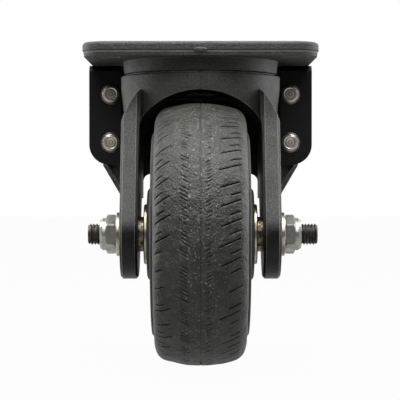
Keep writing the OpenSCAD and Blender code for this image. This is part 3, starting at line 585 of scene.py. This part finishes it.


# The last colour given to each nylon is the painted highlight on its arrises.
FINISHES = {
    moulded_nylon("moulded nylon, plate", "#2c2c2b", "#50504d", "#5a5a57", highlight_z=HIGHLIGHT_LINE_Z):
        ("top_plate", "gate_mark"),
    moulded_nylon("moulded nylon, fork", "#2d2d2c", "#535350", "#8a8a85", smooth_below=POLISH_Z):
        ("fork", "head_seam"),
    moulded_nylon("moulded nylon, wheel core", "#232322", "#333331", "#4a4a47"):
        ("wheel_core", "left_nut_insert", "right_nut_insert"),
    powder_coat(): ("left_guard", "right_guard"),
    rubber_tyre(): ("tread", "mould_nib", "tyre"),
    spun_rivet_steel(): ("left_rivets", "right_rivets"),
    # Blue-white passivated zinc: a clean satin silver.
    cloudy_steel("bright zinc plate", "#bcbcb6", "#92928c", 5, 0.26, 0.15):
        ("left_nut", "right_nut"),
    # Chromated zinc, faded by use: a pale straw colour that still mirrors a little.
    cloudy_steel("yellow zinc plate", "#c8c4b2", "#8c8774", 6, 0.24, 0.2):
        ("left_washer", "right_washer", "left_dust_disc", "right_dust_disc"),
    # Bare tube with rust in blotches: dark brown on dull grey.
    cloudy_steel("rusted steel tube", "#a09383", "#332a21", 2.5, 0.3, 0.5):
        ("left_spacer", "right_spacer"),
    # Rolled thread that has lost its plating: dark, duller in clouds.
    cloudy_steel("weathered stud steel", "#5c5a55", "#3c3834", 3.0, 0.42, 0.4):
        ("threaded_axle", "axle"),
    # Forged and left as it came: an even dull grey.
    cloudy_steel("forged steel", "#6e6e6c", "#5e5e5c", 8, 0.38, 0.3):
        ("kingpin", "lower_cup", "axle_sleeve"),
    # Hardened and ground for the balls to run on: smooth and bright.
    cloudy_steel("hardened steel", "#a2a2a0", "#7c7c7a", 6, 0.25, 0.05):
        ("upper_race", "head_race", "lower_race", "upper_balls", "lower_balls",
         "left_inner_ring", "right_inner_ring", "left_outer_ring", "right_outer_ring",
         "left_bearing_balls", "right_bearing_balls"),
}
for finish, names in FINISHES.items():
    for name in names:
        dressed = bpy.data.objects[name]
        dressed.data.materials.clear()
        dressed.data.materials.append(finish)


# Studio: a pale floor, soft lights overhead, in front, behind and on both sides, and the camera.

# The floor, in mm, and how much of its white shows: to the camera, and to faces that mirror it.
FLOOR_GAP = 0.1
FLOOR_HALF_W = 3000.0
FLOOR_FRONT = -350.0
FLOOR_BACK = 3000.0
FLOOR_WHITE = 0.97
FLOOR_MIRRORED = 0.5


def build_floor():
    """A flat rectangle just under the wheel's lowest point, with its front edge near the wheel, so
    that faces turned to the camera mirror the dark room beyond it."""
    across = np.array([-FLOOR_HALF_W, FLOOR_HALF_W])
    back = np.array([FLOOR_FRONT, FLOOR_BACK])
    grid = np.stack([across[:, None] + 0 * back, back + 0 * across[:, None],
                     np.full((2, 2), tyre_low[2] - FLOOR_GAP)], -1)
    return surface("floor", grid)


def pale_floor():
    """A pale sweep that the camera and mirror-like faces see as white, with the object's soft
    shadow left on it. Its own grey is what it throws back on the matt faces."""
    made, tree, shader = new_material(
        "white studio floor", Base_Color=linear("#787878"), Roughness=0.9)
    rays = add(tree, "ShaderNodeLightPath")
    mirrored = add(tree, "ShaderNodeMath", {
        0: rays.outputs["Is Glossy Ray"], 1: rays.outputs["Is Transmission Ray"]}, operation="MAXIMUM")
    dimmed = add(tree, "ShaderNodeMath", {
        0: mirrored.outputs[0], 1: FLOOR_MIRRORED}, operation="MULTIPLY")
    shown = add(tree, "ShaderNodeMath", {
        0: rays.outputs["Is Camera Ray"], 1: dimmed.outputs[0]}, operation="MAXIMUM")
    seen = add(tree, "ShaderNodeMath", {0: shown.outputs[0], 1: FLOOR_WHITE}, operation="MULTIPLY")
    glow = add(tree, "ShaderNodeEmission", {"Color": linear("#ffffff"), "Strength": 1.0})
    mixed = add(tree, "ShaderNodeMixShader", {
        0: seen.outputs[0], 1: shader.outputs[0], 2: glow.outputs[0]})
    tree.links.new(mixed.outputs[0], tree.nodes["Material Output"].inputs["Surface"])
    return made


floor = build_floor()
floor.data.materials.append(pale_floor())


def add_softbox(name, place, aim, size, power):
    """A rectangular area light at place, turned to face aim, in metres and watts."""
    lamp = bpy.data.lights.new(name, "AREA")
    lamp.shape = "RECTANGLE"
    lamp.size, lamp.size_y = size
    lamp.energy = power
    box = bpy.data.objects.new(name, lamp)
    way = np.array(aim) - np.array(place)
    flat = math.hypot(way[0], way[1])
    box.location = place
    box.rotation_euler = (math.atan2(flat, -way[2]), 0, math.atan2(-way[0], way[1]))
    bpy.context.collection.objects.link(box)


FORK_MIDDLE = (0, 0, -0.08)
SIDE_BOX = (0.5, 0.9)
add_softbox("overhead_softbox", place=(0, -0.52, 1.0), aim=(0, -0.52, 0), size=(1.3, 1.25), power=32)
add_softbox("front_softbox", place=(0, -1.1, 0.55), aim=(0, 0, -0.06), size=(0.8, 0.4), power=2)
add_softbox("back_softbox", place=(0, 0.75, 0.9), aim=(0, 0, -0.05), size=(1.3, 0.5), power=5)
add_softbox("left_softbox", place=(-0.9, 0.4, 0.1), aim=FORK_MIDDLE, size=SIDE_BOX, power=6)
add_softbox("right_softbox", place=(0.9, 0.4, 0.1), aim=FORK_MIDDLE, size=SIDE_BOX, power=6)

# The room is white to the camera, a dim grey to matt faces, and to mirroring faces it darkens from
# the white behind the castor to the room on the camera's side.
world = bpy.data.worlds.new("studio")
bpy.context.scene.world = world
world.use_nodes = True
room = world.node_tree
rays = add(room, "ShaderNodeLightPath")
direction = add(room, "ShaderNodeTexCoord").outputs["Generated"]
axes = add(room, "ShaderNodeSeparateXYZ", {0: direction}).outputs
behind = add(room, "ShaderNodeMapRange", {
    "Value": axes["Y"], "From Min": -0.5, "From Max": 0.4, "To Min": 0.08})
mirrored = add(room, "ShaderNodeMath", {
    0: rays.outputs["Is Glossy Ray"], 1: behind.outputs["Result"]}, operation="MULTIPLY")
shown = add(room, "ShaderNodeMath", {
    0: rays.outputs["Is Camera Ray"], 1: mirrored.outputs[0]}, operation="MAXIMUM")
seen = add(room, "ShaderNodeMath", {
    0: shown.outputs[0], 1: rays.outputs["Is Transmission Ray"]}, operation="MAXIMUM")
level = add(room, "ShaderNodeMapRange", {"Value": seen.outputs[0], "To Min": 0.04, "To Max": 1.0})
room.links.new(level.outputs["Result"], room.nodes["Background"].inputs["Strength"])
room.nodes["Background"].inputs["Color"].default_value = linear("#ffffff")

# The camera stands level with the fork, square to the plate's front, and looks down a little.
LENS = 136.2
SENSOR = 36
CAMERA_PLACE = (-0.0003, -0.890, -0.074)
CAMERA_TILT = math.radians(89.05)
lens = bpy.data.cameras.new("camera")
lens.lens = LENS
lens.sensor_width = SENSOR
camera = bpy.data.objects.new("camera", lens)
camera.location = CAMERA_PLACE
camera.rotation_euler = (CAMERA_TILT, 0, 0)
bpy.context.collection.objects.link(camera)
bpy.context.scene.camera = camera
bpy.context.scene.view_settings.view_transform = "Standard"
